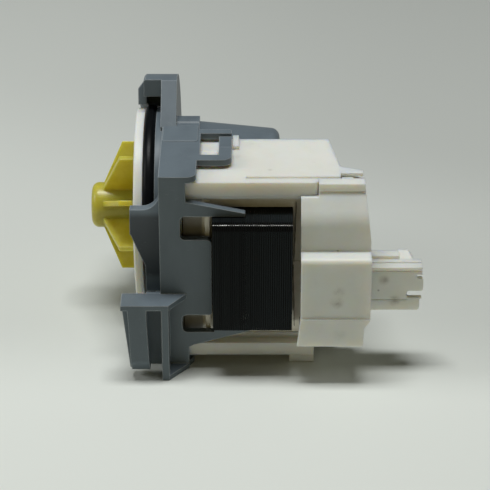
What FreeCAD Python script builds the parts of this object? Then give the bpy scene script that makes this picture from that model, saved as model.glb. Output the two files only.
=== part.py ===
import FreeCAD, Part
import math
import os

V = FreeCAD.Vector

# Dishwasher drain pump with a permanent-magnet rotor, in millimetres.
# The rotor axis is X with the impeller at -X, up is +Z, and the yoke of the core faces -Y.
# The origin is the middle of the chamber plate's front face, on the rotor axis.

# Clearances
loose = 0.3
snug = 0.1
running = 0.05
edge_break = 0.4
past = 1.0  # how far a cutting shape runs past the face that it opens

# Chamber plate, which closes the pump chamber behind the impeller
disc_radius = 30.4
disc_thickness = 2.7
land_width = 6.4
land_height = 0.6
hub_radius = 8.6
hub_length = 9.0
hub_lip = 1.0

# Seal ring and the bracket's seat for it
seal_radius = 31.4
seal_width = 3.6
seal_round = 1.7
spigot_radius = 27.3
spigot_wall = 3.0
seat_radius = 30.5
seat_width = 2.2

# Mounting bracket: round plate with a flat top, a flat base and a side wall on the yoke side
plate_radius = 41.0
plate_thickness = 4.2
plate_bore = 20.0
rim_width = 2.6
rim_lead = 0.6
crown_start = 4.0
side_reach = 45.0
side_wall = 2.4
side_depth = 7.8
slope_foot = 9.0
base_depth = 33.0
flange_thickness = 1.9
flange_gap = 1.0  # between the flange and the housing's deck below it
flange_depth = 11.3
flange_step = 0.4
flange_round = 3.0
base_flange_depth = 9.7
base_flange_corner = 3.5
base_flange_round = 2.0
top_far_edge = 1.1
edge_rib_width = 4.8
edge_rib_height = 0.4
edge_rib_slope = 0.6

# Latch loop on the bracket's top flange, with the lug and the catch that hold it
loop_reach = 9.8
loop_near = 33.0
loop_far = 10.6
loop_round = 1.0
loop_near_round = 3.0
loop_window_near = 29.1
loop_window_far = 13.6
loop_window_start = 0.4
loop_window_length = 5.6
loop_dip = 1.0
loop_dip_near = 23.5
lug_length = 2.2
lug_width = 8.0
lug_height = 1.3
catch_near = 28.8
catch_far = 20.6
catch_height = 1.3

# Side wall's two notches, the tab between them and the two prongs that hold the core
notch_start = 6.1
tab_top = 10.2
tab_bottom = 14.8
lower_notch_start = 6.4
lower_notch_height = 5.8
prong_root = 4.6
upper_prong_tip = 1.0
prong_tip = 1.9
prong_tip_round = 0.4
notch_round = 1.5
tab_round = 1.0
upper_prong_length = 9.3
lower_prong_length = 12.6
lower_prong_root = 7.2
base_panel_top = 25.8
base_panel_extra = 0.5

# Bayonet hooks that stand forward of the plate
hook_inner = 35.6
hook_front = 2.4
hook_chamfer = 0.5
hook_lip_inner = 31.8
hook_lip_front = 0.4
hook_lip_front_outer = 36.8
hook_lip_outer = 39.5
hook_lip_lap = 0.6
hook_lip_lag = 9.0
hook_stop_span = 6.0
crown_hook_angles = (5.0, 42.0)
far_hook_angles = (98.0, 126.0)

# Guard wall ahead of the side wall, stepped back towards its lower end
guard_inner = 33.6
guard_outer = 36.4
guard_front = -0.7
guard_back_front = 3.8
guard_top = 14.4
guard_last = -110.0
guard_step_top = 7.9
guard_step_bottom = -2.8
guard_round = 2.0
gusset_height = 5.6
gusset_length = 5.4

# Ledge, web, hanging hook and front panel low on the side wall
ledge_height = -7.7
ledge_thickness = 1.6
ledge_reach = 52.6
ledge_front = -3.0
ledge_back = 44.6
ledge_near_end = 11.0
ledge_far_end = 16.1
web_start = 9.0
web_thickness = 2.1
base_rib_thickness = 1.6
arm_front = -1.1
arm_width = 5.5
arm_lean = 0.9
arm_thickness = 2.2
arm_bend = -26.9
arm_end = -30.9
arm_curl = 3.1
barb_width = 2.6
barb_height = 1.5
stay_front = -2.8
stay_width = 2.0
stay_end = -29.6
stay_end_front = -0.6
stay_inset = 2.6
stay_thickness = 2.0
panel_front = 4.1
panel_thickness = 2.0

# Rotor shroud on the far side of the bracket
shroud_radius = 27.3
shroud_end_radius = 23.9
shroud_wall = 1.8
shroud_end = 44.4
shroud_lap = 22.0
shroud_round = 2.8
shroud_lip = 0.3

# Rotor can, bearings and rotor
magnet_radius = 10.0
magnet_length = 26.0
magnet_gap = 0.7
can_wall = 1.2
can_end = 57.4
can_flange_thickness = 1.6
bush_radius = 4.0
bush_length = 4.6
grommet_radius = 6.4
grommet_length = 5.0
grommet_bead = 1.2
shaft_radius = 1.5
shaft_front = -12.0
carrier_radius = 4.6
end_float = 0.3
end_disc_radius = 9.2
end_disc_thickness = 1.2
washer_radius = 3.4
washer_thickness = 0.6
gasket_radius = 1.0

# Impeller with straight blades, its hollow hub and the lost-motion drive
impeller_radius = 19.9
impeller_back = -0.8
impeller_tip_front = -5.0
impeller_root_front = -11.0
impeller_nose = -14.4
blade_count = 8
blade_start_angle = 18.0
blade_thickness = 1.6
nose_radius = 7.1
nose_round = 2.2
dimple_depth = 0.4
hub_bore = 5.4
hub_floor = -10.2
hub_plug_thickness = 1.4
dog_collar_radius = 2.6
dog_span = 80.0
stop_span = 76.0
stop_margin = 2.0
damper_thickness = 0.5

# Laminated core
lamination_thickness = 0.65
lamination_count = 36
core_start = 24.1
core_height = 17.5
yoke_face = 50.0
yoke_depth = 11.3
leg_gap = 7.0
pole_radius = 20.0
pole_clearance = 0.3
pole_step = 1.2
pole_reach = 74.0
pole_root = 60.0
pole_step_start = 10.0
yoke_round = 0.5
groove_width = 0.12
groove_depth = 0.15

# Coil formers, windings and their wraps
former_wall = 1.0
former_flange = 1.4
former_flange_reach = 24.1
collar_top = 21.6
former_flange_past = 3.5
collar_start = 2.3
collar_width = 1.4
collar_reach = 3.0
winding_depth = 4.9
winding_corner = 4.0
wrap_thickness = 0.4
coil_middle_gap = 0.1
coil_touch = 0.02

# Coil housing
housing_top = 27.5
housing_bottom = 27.4
housing_wall = 2.0
housing_near = 38.6
housing_far_wall = 13.6
housing_far_edge = 11.2
housing_end_far = 58.9
housing_end_near = 61.6
housing_shoulder = 30.4
rail_reach = 42.3
rail_bottom = 23.4
rail_end = 54.9
rail_corner = 1.2
rail_lip = 1.3
rail_lip_width = 1.0
low_rail_top = 25.9
low_rail_bottom = 30.0
low_rail_end = 54.4
deck_groove_start = 33.9
deck_groove_near = 39.6
deck_groove_far = 38.1
deck_groove_depth = 0.6
deck_tongue = 68.2
deck_tongue_near = 35.8
deck_tongue_far = 33.9
deck_tongue_thickness = 0.9
foot_start = 47.0
foot_length = 7.4
foot_width = 5.0
foot_near = 42.0
foot_far = 16.5

# End cover over the coil ends and the terminals
cover_start = 49.9
cover_end = 70.4
cover_wall = 1.7
cover_top = 25.2
cover_back = 32.4
cover_brow = 42.5
slope_top = 24.7
bulge_room = 9.0  # from the housing's near wall out to the bulge's face, for the fuse
bulge_crest = 17.8
bulge_round = 8.0
bulge_bottom = 7.8
block_reach = 53.3
block_round = 1.5
block_bottom = -11.6
low_lump_reach = 53.9
low_lump_end = 68.3
low_lump_draft = 0.4
low_lump_start = 48.9
cover_bottom = -20.5
cover_taper = 1.7
cover_taper_height = 14.0
cover_round = 2.4
low_lump_step = -11.8
low_lump_slant = 2.8
cover_ledge_top = 27.3
cover_ledge_end = 68.5
cover_ledge_far = 38.9
cover_ledge_reach = 42.9

# Terminal housing and its blades
plug_near = 44.0
plug_far = 35.0
plug_top = 0.6
plug_bottom = -13.6
plug_end = 86.0
plug_wall = 1.5
plug_floor = 2.4
plug_collar = 0.5
tongue_top = -3.0
tongue_bottom = -7.2
tongue_root = 81.6
tongue_end = 86.4
slot_bottom = -9.4
slot_root = 81.6
slot_round = 0.8
upper_gap_root = 84.5
upper_gap_top = -1.9
bar_cut = 0.5
bar_round = 1.0
bar_end = 85.5
corner_cut_near = 39.3
corner_cut_top = -10.6
key_groove_near = 41.0
key_groove_far = 40.3
key_groove_depth = 0.5
side_groove_top = 1.4
side_groove_width = 0.4
side_groove_depth = 0.3
latch_start = 78.1
latch_end = 83.6
latch_height = 1.6
latch_width = 3.6
latch_ramp = 1.4
shelf_height = 1.1
blade_width = 5.0
blade_sheet = 0.8
blade_pitch = 6.4
blade_tip = 79.5
blade_tail = 62.5
blade_point = 1.0
lead_start = 50.2
lead_width = 1.2
lead_sheet = 0.4
fuse_radius = 1.6
fuse_length = 7.0
fuse_start = 52.0

# Places that follow from the sizes above
seat_front = disc_thickness + seal_width
plate_front = seat_front + seat_width
plate_back = plate_front + plate_thickness
side_back = plate_front + side_depth
base_panel_back = side_back + base_panel_extra
flange_back = plate_front + flange_depth
can_bore = magnet_radius + magnet_gap
can_radius = can_bore + can_wall
pole_bore = can_radius + pole_clearance
core_length = lamination_count * lamination_thickness
core_end = core_start + core_length
core_middle = core_start + core_length / 2
leg_near = yoke_face - yoke_depth
magnet_start = core_middle - magnet_length / 2
magnet_end = core_middle + magnet_length / 2
front_grommet_start = disc_thickness + hub_length - hub_lip - grommet_length
rear_grommet_start = can_end - can_wall - grommet_length
bush_inset = (grommet_length - bush_length) / 2
front_bush_end = front_grommet_start + grommet_length - bush_inset
rear_bush_start = rear_grommet_start + bush_inset
carrier_start = front_bush_end + washer_thickness + end_float
carrier_end = rear_bush_start - washer_thickness - end_float
cover_side_start = housing_end_near + loose
bulge_reach = housing_near + bulge_room
top_height = housing_top + flange_gap + flange_thickness
cover_hollow_end = low_lump_end - cover_wall
cover_ledge_start = rail_end + snug
plug_middle_y = -(plug_near + plug_far) / 2
plug_middle_z = (plug_top + plug_bottom) / 2
blade_heights = (plug_middle_z - blade_pitch / 2, plug_middle_z + blade_pitch / 2)
housing_start = plate_back + loose
spigot_bore = spigot_radius - spigot_wall


def box(x0, x1, y0, y1, z0, z1):
    return Part.makeBox(x1 - x0, y1 - y0, z1 - z0, V(x0, y0, z0))


def rod(x0, x1, radius, y=0.0, z=0.0):
    return Part.makeCylinder(radius, x1 - x0, V(x0, y, z), V(1, 0, 0))


def tube(x0, x1, outer, inner):
    return rod(x0, x1, outer).cut(rod(x0 - past, x1 + past, inner))


def on_ring(x, radius, angle):
    # Angles run from +Z towards +Y
    turn = math.radians(angle)
    return V(x, radius * math.sin(turn), radius * math.cos(turn))


def sector(x0, x1, inner, outer, first, last):
    middle = (first + last) / 2
    outside = Part.Arc(on_ring(x0, outer, first), on_ring(x0, outer, middle), on_ring(x0, outer, last))
    inside = Part.Arc(on_ring(x0, inner, last), on_ring(x0, inner, middle), on_ring(x0, inner, first))
    edges = [
        outside.toShape(),
        Part.makeLine(on_ring(x0, outer, last), on_ring(x0, inner, last)),
        inside.toShape(),
        Part.makeLine(on_ring(x0, inner, first), on_ring(x0, outer, first)),
    ]
    return Part.Face(Part.Wire(edges)).extrude(V(x1 - x0, 0, 0))


def rounded_outline(corners, place):
    # Corners are (u, v) or (u, v, radius), and a radius puts a tangent arc there
    flat = [V(c[0], c[1], 0) for c in corners]
    starts = []
    middles = []
    ends = []
    for i, corner in enumerate(corners):
        radius = corner[2] if len(corner) > 2 else 0.0
        back = (flat[i - 1] - flat[i]).normalize()
        ahead = (flat[(i + 1) % len(flat)] - flat[i]).normalize()
        half = back.getAngle(ahead) / 2
        reach = radius / math.tan(half)
        inward = V(0, 0, 0)
        if radius > 0:
            inward = (back + ahead).normalize() * (radius / math.sin(half) - radius)
        starts.append(flat[i] + back * reach)
        middles.append(flat[i] + inward)
        ends.append(flat[i] + ahead * reach)
    edges = []
    for i, corner in enumerate(corners):
        if len(corner) > 2:
            arc = Part.Arc(place(starts[i]), place(middles[i]), place(ends[i]))
            edges.append(arc.toShape())
        following = starts[(i + 1) % len(corners)]
        if ends[i].distanceToPoint(following) > 1e-6:
            edges.append(Part.makeLine(place(ends[i]), place(following)))
    return Part.Face(Part.Wire(edges))


def turned(profile):
    # Outline in (x, radius), turned about the rotor axis
    face = rounded_outline(profile, lambda p: V(p.x, 0, p.y))
    return face.revolve(V(0, 0, 0), V(1, 0, 0), 360)


def prism_x(corners, x0, x1):
    # Outline in (y, z)
    return rounded_outline(corners, lambda p: V(x0, p.x, p.y)).extrude(V(x1 - x0, 0, 0))


def prism_y(corners, y0, y1):
    # Outline in (x, z)
    return rounded_outline(corners, lambda p: V(p.x, y0, p.y)).extrude(V(0, y1 - y0, 0))


def prism_z(corners, z0, z1):
    # Outline in (x, y)
    return rounded_outline(corners, lambda p: V(p.x, p.y, z0)).extrude(V(0, 0, z1 - z0))


def joined(shapes):
    return shapes[0].fuse(shapes[1:]).removeSplitter()


def mirrored(shape):
    # The same shape below the rotor axis
    return shape.mirror(V(0, 0, 0), V(0, 0, 1))


def save(name, shape):
    shape.exportStep("parts/" + name + ".step")
    count = len(shape.Solids)
    print(name, "solids", count, "valid", shape.isValid(), "volume", round(shape.Volume, 1))


# Mounting bracket
def bracket_outline(x0, x1):
    # Round towards the far side, sloping to a flat top, with a flat base and a straight near side
    crown = on_ring(x0, plate_radius, crown_start)
    base_y = math.sqrt(plate_radius ** 2 - base_depth ** 2)
    far = V(x0, plate_radius, 0)
    edges = [
        Part.Arc(crown, far, V(x0, base_y, -base_depth)).toShape(),
        Part.makeLine(V(x0, base_y, -base_depth), V(x0, -side_reach, -base_depth)),
        Part.makeLine(V(x0, -side_reach, -base_depth), V(x0, -side_reach, top_height)),
        Part.makeLine(V(x0, -side_reach, top_height), V(x0, -slope_foot, top_height)),
        Part.makeLine(V(x0, -slope_foot, top_height), crown),
    ]
    return Part.Face(Part.Wire(edges)).extrude(V(x1 - x0, 0, 0))


def bracket_side_wall():
    tip_x = flange_back + upper_prong_length + prong_root
    core_top = core_height + loose
    tab_end = core_start - loose
    low_tip_x = core_start + lower_prong_length
    corners = [
        (plate_front, top_height),
        (side_back, top_height),
        (side_back, core_top + prong_root),
        (tip_x, core_top + upper_prong_tip, prong_tip_round),
        (tip_x, core_top, prong_tip_round),
        (plate_front + notch_start, core_top, notch_round),
        (plate_front + notch_start, tab_top, notch_round),
        (tab_end, tab_top, notch_round),
        (tab_end, -tab_bottom, tab_round),
        (plate_front + lower_notch_start, -tab_bottom, notch_round),
        (plate_front + lower_notch_start, -tab_bottom - lower_notch_height, notch_round),
        (core_start + loose, -tab_bottom - lower_notch_height),
        (core_start + loose, -core_top),
        (low_tip_x, -core_top, prong_tip_round),
        (low_tip_x, -core_top - prong_tip, prong_tip_round),
        (side_back + prong_tip, -core_top - lower_prong_root),
        (base_panel_back, -base_panel_top),
        (base_panel_back, -base_depth),
        (plate_front, -base_depth),
    ]
    return prism_y(corners, -side_reach, -side_reach + side_wall)


def bracket_flanges():
    plan = [
        (plate_front, -side_reach),
        (flange_back - flange_step, -side_reach, flange_round),
        (flange_back - flange_step, -loop_near),
        (flange_back + loop_reach, -loop_near, loop_near_round),
        (flange_back + loop_reach, -loop_far, loop_round),
        (flange_back, -loop_far),
        (flange_back, -top_far_edge),
        (plate_front, -top_far_edge),
    ]
    top = prism_z(plan, top_height - flange_thickness, top_height)
    window_start = flange_back + loop_window_start
    window_end = window_start + loop_window_length
    top = top.cut(box(window_start, window_end, -loop_window_near, -loop_window_far, 0, plate_radius))
    top = top.cut(box(window_end - past, flange_back + loop_reach + past, -loop_dip_near, -loop_window_far,
                      top_height - loop_dip, plate_radius))
    rib_near = -top_far_edge - edge_rib_width
    rib = prism_x([
        (rib_near, top_height), (rib_near + edge_rib_slope, top_height + edge_rib_height),
        (-top_far_edge, top_height + edge_rib_height), (-top_far_edge, top_height),
    ], plate_front, flange_back)
    base_back = plate_front + base_flange_depth
    base_plan = [
        (plate_front, -side_reach),
        (side_back, -side_reach),
        (base_back, -side_reach + base_flange_corner, base_flange_round),
        (base_back, rib_near),
        (plate_front, rib_near),
    ]
    base = prism_z(base_plan, -base_depth, -base_depth + flange_thickness)
    return joined([top, rib, base])


def bracket_shroud():
    # Open towards the yoke, with draft towards its rounded end
    lip_radius = shroud_end_radius - shroud_round - shroud_lip
    profile = [
        (plate_front, shroud_radius),
        (shroud_end, shroud_end_radius, shroud_round),
        (shroud_end, lip_radius),
        (shroud_end - shroud_wall, lip_radius),
        (shroud_end - shroud_round - shroud_lip, shroud_end_radius - shroud_wall),
        (plate_front, shroud_radius - shroud_wall),
    ]
    ring = turned(profile)
    mouth = sector(0, shroud_end + past, shaft_radius, plate_radius, -180 + shroud_lap, -shroud_lap)
    return ring.cut(mouth)


def bracket_hook(angles):
    # A block with a bevelled front edge, a lip that starts a little further round, and an end stop
    first, last = angles
    block = turned([
        (hook_front, hook_inner),
        (hook_front, plate_radius - hook_chamfer),
        (hook_front + hook_chamfer, plate_radius),
        (plate_front, plate_radius),
        (plate_front, hook_inner),
    ])
    lip = turned([
        (hook_lip_front, hook_lip_inner),
        (hook_lip_front, hook_lip_front_outer),
        (hook_front, hook_lip_outer),
        (hook_front + hook_lip_lap, hook_lip_outer),
        (hook_front + hook_lip_lap, hook_lip_inner),
    ])
    block = block.common(sector(0, plate_back, shaft_radius, plate_radius + past, first, last))
    lip = lip.common(sector(0, plate_back, shaft_radius, plate_radius + past, first + hook_lip_lag, last))
    stop = sector(hook_front, plate_front, hook_lip_inner, hook_inner + snug, last - hook_stop_span, last)
    return joined([block, lip, stop])


def bracket_guard():
    # Round the rotor axis, cut level at its top, with a scooped gusset back to the plate
    tall = guard_top + gusset_height
    first = -math.degrees(math.acos(tall / guard_inner))
    round_wall = sector(guard_front, plate_front, guard_inner, guard_outer, guard_last, first)
    over = box(guard_front - past, plate_front + past, -side_reach, 0, guard_top, plate_radius)
    behind = guard_front - past
    step = prism_y([
        (behind, guard_step_top),
        (guard_front, guard_step_top, guard_round),
        (guard_back_front, guard_step_bottom, guard_round),
        (guard_back_front, -guard_outer),
        (behind, -guard_outer),
    ], -side_reach, 0)
    wall = round_wall.cut(over).cut(step)
    scoop_x = plate_front - gusset_length
    gusset = round_wall.common(box(scoop_x, plate_front, -side_reach, 0, guard_top, tall))
    scoop = Part.makeCylinder(1.0, side_reach, V(0, -side_reach, 0), V(0, 1, 0))
    stretch = FreeCAD.Matrix()
    stretch.scale(gusset_length, 1, gusset_height)
    stretch.move(V(scoop_x, 0, tall))
    return joined([wall, gusset.cut(scoop.transformGeometry(stretch))])


def bracket_low_hook():
    ledge_under = ledge_height - ledge_thickness
    ledge = prism_z([
        (ledge_front, -ledge_back),
        (ledge_front, -ledge_reach),
        (ledge_near_end, -ledge_reach),
        (ledge_far_end, -side_reach),
        (ledge_far_end, -ledge_back),
    ], ledge_under, ledge_height)
    web = box(web_start, web_start + web_thickness, -ledge_reach, -side_reach + side_wall,
              -base_depth, ledge_height)
    rib = prism_z([
        (web_start, -ledge_reach),
        (ledge_near_end, -ledge_reach),
        (base_panel_back, -side_reach),
        (web_start, -side_reach),
    ], -base_depth, -base_depth + base_rib_thickness)
    panel = box(panel_front, plate_back, -side_reach + side_wall,
                -side_reach + side_wall + panel_thickness, -base_depth, ledge_under)
    arm_back = -ledge_reach + arm_thickness
    barb_near = -ledge_reach + arm_curl
    arm = prism_x([
        (-ledge_reach, ledge_height - edge_break),
        (-ledge_reach, arm_bend, arm_thickness),
        (barb_near, arm_end, edge_break),
        (barb_near + barb_width, arm_end, edge_break),
        (barb_near + barb_width, arm_end + barb_height, edge_break),
        (arm_back, arm_end + barb_height + arm_curl),
        (arm_back, ledge_height - edge_break),
    ], arm_front, arm_front + arm_width + arm_lean)
    arm_side = prism_y([
        (arm_front, ledge_height),
        (arm_front + arm_width, ledge_height),
        (arm_front + arm_width + arm_lean, arm_end),
        (arm_front + arm_lean, arm_end),
    ], -ledge_reach, -side_reach + side_wall)
    stay_near = -ledge_reach + stay_inset
    stay = prism_y([
        (stay_front, ledge_under + edge_break),
        (stay_front + stay_width, ledge_under + edge_break),
        (stay_end_front + stay_width, stay_end),
        (stay_end_front, stay_end),
    ], stay_near - edge_break, stay_near + stay_thickness)
    return joined([ledge, web, rib, panel, arm.common(arm_side), stay])


def mounting_bracket():
    plate = bracket_outline(plate_front, plate_back)
    rim = bracket_outline(plate_front - rim_lead, plate_front)
    inside = rod(0, plate_front + past, plate_radius - rim_width)
    crown = on_ring(0, plate_radius, crown_start)
    straight = box(0, plate_front + past, -side_reach - past, crown.y,
                   -plate_radius - past, plate_radius + past)
    rim = rim.cut(inside).cut(straight)
    slope = prism_x([
        (crown.y, crown.z), (-slope_foot, top_height),
        (-slope_foot, top_height - rim_width), (crown.y, crown.z - rim_width),
    ], plate_front - rim_lead, plate_front)
    spigot = tube(disc_thickness + snug, plate_front, spigot_radius, spigot_bore)
    seat = tube(seat_front, plate_front, seat_radius, spigot_bore)
    body = joined([
        plate, rim, slope, spigot, seat,
        bracket_side_wall(), bracket_flanges(), bracket_shroud(),
        bracket_hook(crown_hook_angles), bracket_hook(far_hook_angles),
        bracket_guard(), bracket_low_hook(),
    ])
    body = body.cut(rod(plate_front - past, plate_back + past, plate_bore))
    save("mounting_bracket", body)


# Chamber plate, seal and can
def chamber_plate():
    dish = disc_radius - land_width
    profile = [
        (0, disc_radius - edge_break), (0, dish), (land_height, dish - land_height),
        (land_height, hub_radius + land_height), (0, hub_radius),
        (0, 2 * shaft_radius),
        (land_height, 2 * shaft_radius - land_height),
        (disc_thickness, 2 * shaft_radius - land_height),
        (disc_thickness, grommet_radius + snug),
        (hub_length + disc_thickness, grommet_radius + snug),
        (hub_length + disc_thickness, hub_radius), (disc_thickness, hub_radius),
        (disc_thickness, disc_radius), (edge_break, disc_radius),
    ]
    save("chamber_plate", turned(profile))


def seal_ring():
    inner = spigot_radius + snug
    save("seal_ring", turned([
        (disc_thickness, inner),
        (disc_thickness, seal_radius, seal_round),
        (seat_front, seal_radius, seal_round),
        (seat_front, inner),
    ]))


def rotor_can():
    flange_start = disc_thickness + snug + gasket_radius
    flange_end = flange_start + can_flange_thickness
    neck = hub_radius + can_wall + snug
    taper = disc_thickness + hub_length + can_wall
    rear = can_end - can_wall
    nest = grommet_radius + snug
    nest_start = rear - grommet_length
    profile = [
        (flange_start, neck - can_wall), (flange_start, spigot_bore - snug),
        (flange_end, spigot_bore - snug), (flange_end, max(neck, can_radius)),
        (taper, max(neck, can_radius)), (taper + can_wall, can_radius),
        (nest_start - can_wall, can_radius), (nest_start + can_wall, nest + can_wall),
        (can_end - can_wall, nest + can_wall), (can_end, nest), (can_end, 0),
        (rear, 0), (rear, nest), (nest_start, nest), (nest_start, can_bore - can_wall),
        (nest_start - can_wall, can_bore), (disc_thickness + hub_length + snug, can_bore),
        (disc_thickness + hub_length + snug, neck - can_wall),
    ]
    save("rotor_can", turned(profile))
    groove = spigot_bore - snug - gasket_radius
    middle = disc_thickness + snug + gasket_radius / 2
    ring = Part.makeTorus(groove, gasket_radius / 2, V(middle, 0, 0), V(1, 0, 0))
    save("can_gasket", ring)


def bearing(name, grommet_start):
    grommet_end = grommet_start + grommet_length
    bush_start = grommet_start + bush_inset
    bush_end = bush_start + bush_length
    bush = turned([
        (bush_start, shaft_radius + running), (bush_start, bush_radius - edge_break),
        (bush_start + edge_break, bush_radius), (bush_end - edge_break, bush_radius),
        (bush_end, bush_radius - edge_break), (bush_end, shaft_radius + running),
    ])
    waist = grommet_radius - edge_break
    grommet = turned([
        (grommet_start, bush_radius + snug), (grommet_start, grommet_radius),
        (grommet_start + grommet_bead, grommet_radius), (grommet_start + grommet_bead + edge_break, waist),
        (grommet_end - grommet_bead - edge_break, waist), (grommet_end - grommet_bead, grommet_radius),
        (grommet_end, grommet_radius), (grommet_end, bush_radius + snug),
    ])
    save(name + "_bearing_bush", bush)
    save(name + "_bearing_grommet", grommet)


def rotor():
    shaft_end = rear_bush_start + bush_length
    small_end = shaft_radius - edge_break
    shaft = turned([
        (shaft_front, 0), (shaft_front, small_end), (shaft_front + edge_break, shaft_radius),
        (shaft_end - edge_break, shaft_radius), (shaft_end, small_end), (shaft_end, 0),
    ])
    save("shaft", shaft)
    carrier = turned([
        (carrier_start, shaft_radius), (carrier_start, carrier_radius - edge_break),
        (carrier_start + edge_break, carrier_radius), (carrier_end - edge_break, carrier_radius),
        (carrier_end, carrier_radius - edge_break), (carrier_end, shaft_radius),
    ])
    front_disc = tube(magnet_start - end_disc_thickness, magnet_start, end_disc_radius, shaft_radius)
    rear_disc = tube(magnet_end, magnet_end + end_disc_thickness, end_disc_radius, shaft_radius)
    save("magnet_carrier", joined([carrier, front_disc, rear_disc]))
    save("rotor_magnet", tube(magnet_start, magnet_end, magnet_radius, carrier_radius))
    front_washer = tube(front_bush_end + running, front_bush_end + running + washer_thickness,
                        washer_radius, shaft_radius)
    rear_washer = tube(rear_bush_start - running - washer_thickness, rear_bush_start - running,
                       washer_radius, shaft_radius)
    save("thrust_washer_front", front_washer)
    save("thrust_washer_rear", rear_washer)


# Impeller and its drive
def impeller():
    cavity_end = impeller_back - hub_plug_thickness
    hub = rod(impeller_nose, impeller_back, nose_radius)
    nose_edges = [e for e in hub.Edges if e.Closed and e.BoundBox.XMax < impeller_nose + snug]
    hub = hub.makeFillet(nose_round, nose_edges)
    blade = prism_y([
        (impeller_root_front, nose_radius - blade_thickness / 2),
        (impeller_tip_front, impeller_radius, edge_break),
        (impeller_back, impeller_radius),
        (impeller_back, nose_radius - blade_thickness / 2),
    ], -blade_thickness / 2, blade_thickness / 2)
    blades = []
    for i in range(blade_count):
        turn = blade_start_angle + i * 360 / blade_count
        blades.append(blade.rotated(V(0, 0, 0), V(1, 0, 0), turn))
    body = joined([hub] + blades)
    body = body.cut(rod(hub_floor, impeller_back + past, hub_bore))
    body = body.cut(rod(shaft_front - loose, hub_floor + past, shaft_radius + running))
    dimple = Part.makeSphere(nose_radius, V(impeller_nose - nose_radius + dimple_depth, 0, 0))
    body = body.cut(dimple)
    stop = sector(hub_floor, cavity_end - loose, dog_collar_radius + loose, hub_bore + edge_break,
                  180 - stop_span / 2, 180 + stop_span / 2)
    save("impeller", joined([body, stop]))
    plug = turned([
        (cavity_end, shaft_radius + running), (cavity_end, hub_bore - snug),
        (impeller_back - edge_break, hub_bore - snug), (impeller_back, hub_bore - snug - edge_break),
        (impeller_back, shaft_radius + running),
    ])
    save("impeller_hub_plug", plug)
    pad_start = hub_floor
    pad = tube(pad_start, pad_start + damper_thickness, hub_bore - snug, shaft_radius + running)
    pad = pad.cut(sector(pad_start - past, pad_start + past, shaft_radius - running, hub_bore + past,
                         180 - stop_span / 2 - stop_margin, 180 + stop_span / 2 + stop_margin))
    save("hub_damper", pad)


def drive_dog():
    start = hub_floor + damper_thickness + loose
    end = impeller_back - hub_plug_thickness - loose
    collar = tube(start, end, dog_collar_radius, shaft_radius)
    lobe = sector(start, end, shaft_radius + edge_break, hub_bore - loose, -dog_span / 2, dog_span / 2)
    save("drive_dog", joined([collar, lobe]))


# Stator core
def stator_core():
    x0 = core_start
    x1 = core_end
    yoke = prism_x([
        (-yoke_face, -core_height, yoke_round),
        (-yoke_face, core_height, yoke_round),
        (-leg_near, core_height),
        (-leg_near, -core_height),
    ], x0, x1)
    leg = box(x0, x1, -leg_near - past, 0, leg_gap, core_height)
    pole = sector(x0, x1, pole_bore - past, pole_radius, -pole_root, pole_reach)
    plain = joined([leg, pole])
    wide_bore = pole_bore + pole_step
    # The wider half of each pole's bore lies opposite the other's, so that the rotor can start
    upper = plain.cut(sector(x0 - past, x1 + past, shaft_radius, wide_bore, pole_step_start, 90))
    lower = mirrored(plain)
    lower = lower.cut(sector(x0 - past, x1 + past, shaft_radius, wide_bore,
                             180 + pole_step_start, 270))
    core = joined([yoke, upper, lower])
    core = core.cut(rod(x0 - past, x1 + past, pole_bore))
    grooves = []
    for i in range(1, lamination_count):
        x = x0 + i * lamination_thickness - groove_width / 2
        ring = box(x, x + groove_width, -yoke_face - past, -leg_near, -core_height - past, core_height + past)
        inner = box(x, x + groove_width, -yoke_face + groove_depth, -leg_near + past,
                    -core_height + groove_depth, core_height - groove_depth)
        grooves.append(ring.cut(inner))
    core = core.cut(Part.makeCompound(grooves))
    save("stator_core", core)


# Coils
def coil():
    inner_low = leg_gap - loose
    inner_high = core_height + loose
    x0 = core_start - loose
    x1 = core_end + loose
    near = -leg_near + loose
    far = -housing_far_wall - housing_wall - loose
    sleeve = box(x0 - former_wall, x1 + former_wall, near, far,
                 inner_low - former_wall, inner_high + former_wall)
    near_flange = box(housing_start + housing_wall + loose, core_end + former_flange_past,
                      near, near + former_flange, coil_middle_gap, former_flange_reach)
    collar_x = core_start - collar_start
    collar = box(collar_x, collar_x + collar_width, near - collar_reach, near + former_flange,
                 coil_middle_gap, collar_top)
    far_flange = box(x0 - winding_depth, x1 + winding_depth,
                     far - former_flange, far, coil_middle_gap, former_flange_reach)
    former = joined([sleeve, near_flange, collar, far_flange])
    former = former.cut(box(x0, x1, near - past, far + past, inner_low, inner_high))
    wound_near = near + former_flange + snug
    wound_far = far - former_flange - snug
    low = coil_middle_gap + wrap_thickness
    high = inner_high + former_wall + winding_depth
    w0 = x0 - former_wall - winding_depth
    w1 = x1 + former_wall + winding_depth
    touch = coil_touch
    hole = box(x0 - former_wall - touch, x1 + former_wall + touch, wound_near - past, wound_far + past,
               inner_low - former_wall - touch, inner_high + former_wall + touch)
    wound = prism_y([
        (w0, low, winding_corner), (w1, low, winding_corner),
        (w1, high, winding_corner), (w0, high, winding_corner),
    ], wound_near, wound_far)
    winding = wound.cut(hole)
    t = wrap_thickness
    r = winding_corner + t
    wrap = prism_y([
        (w0 - t, low - t, r), (w1 + t, low - t, r), (w1 + t, high + t, r), (w0 - t, high + t, r),
    ], wound_near + loose, wound_far - loose)
    skin = prism_y([
        (w0 - touch, low - touch, winding_corner), (w1 + touch, low - touch, winding_corner),
        (w1 + touch, high + touch, winding_corner), (w0 - touch, high + touch, winding_corner),
    ], wound_near, wound_far)
    return former, winding, wrap.cut(skin)


def coils():
    for name, shape in zip(("coil_former", "winding", "coil_wrap"), coil()):
        save(name + "_upper", shape)
        save(name + "_lower", mirrored(shape))


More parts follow.
